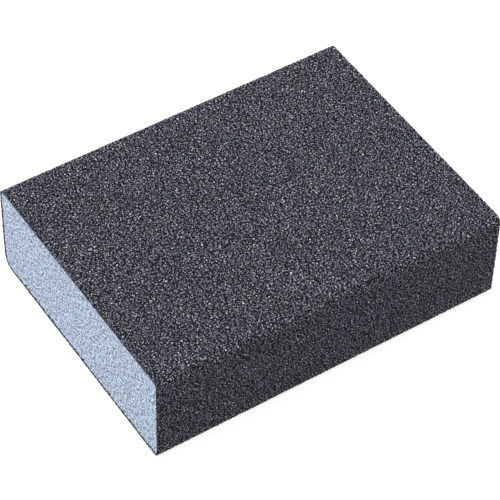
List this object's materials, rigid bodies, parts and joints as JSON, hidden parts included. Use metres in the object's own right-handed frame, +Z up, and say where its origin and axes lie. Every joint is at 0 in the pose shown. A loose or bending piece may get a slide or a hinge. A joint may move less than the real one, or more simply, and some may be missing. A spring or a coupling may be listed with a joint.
{
  "type": "sanding block",
  "caption": "Flat rectangular foam sanding block with coarse dark abrasive on its broad faces and long sides, soft rounded long edges, and bare foam at both cut ends.",
  "frame": {"origin": "centre of the underside, which is the abrasive face that the block lies on", "axes": "+X along the block towards one cut foam end, +Y across its width towards the back side, +Z up out of the top face"},
  "size_m": [0.1, 0.075, 0.028],
  "materials": {
    "foam": "matte",
    "bond_resin": "satin",
    "grit": "matte"
  },
  "bodies": {
    "root": {"foam_core": "foam", "bond_coat_top": "bond_resin", "bond_coat_bottom": "bond_resin", "bond_coat_front": "bond_resin", "bond_coat_back": "bond_resin", "grit_coat_top": "grit", "grit_coat_bottom": "grit", "grit_coat_front": "grit", "grit_coat_back": "grit"}
  },
  "joints": []
}
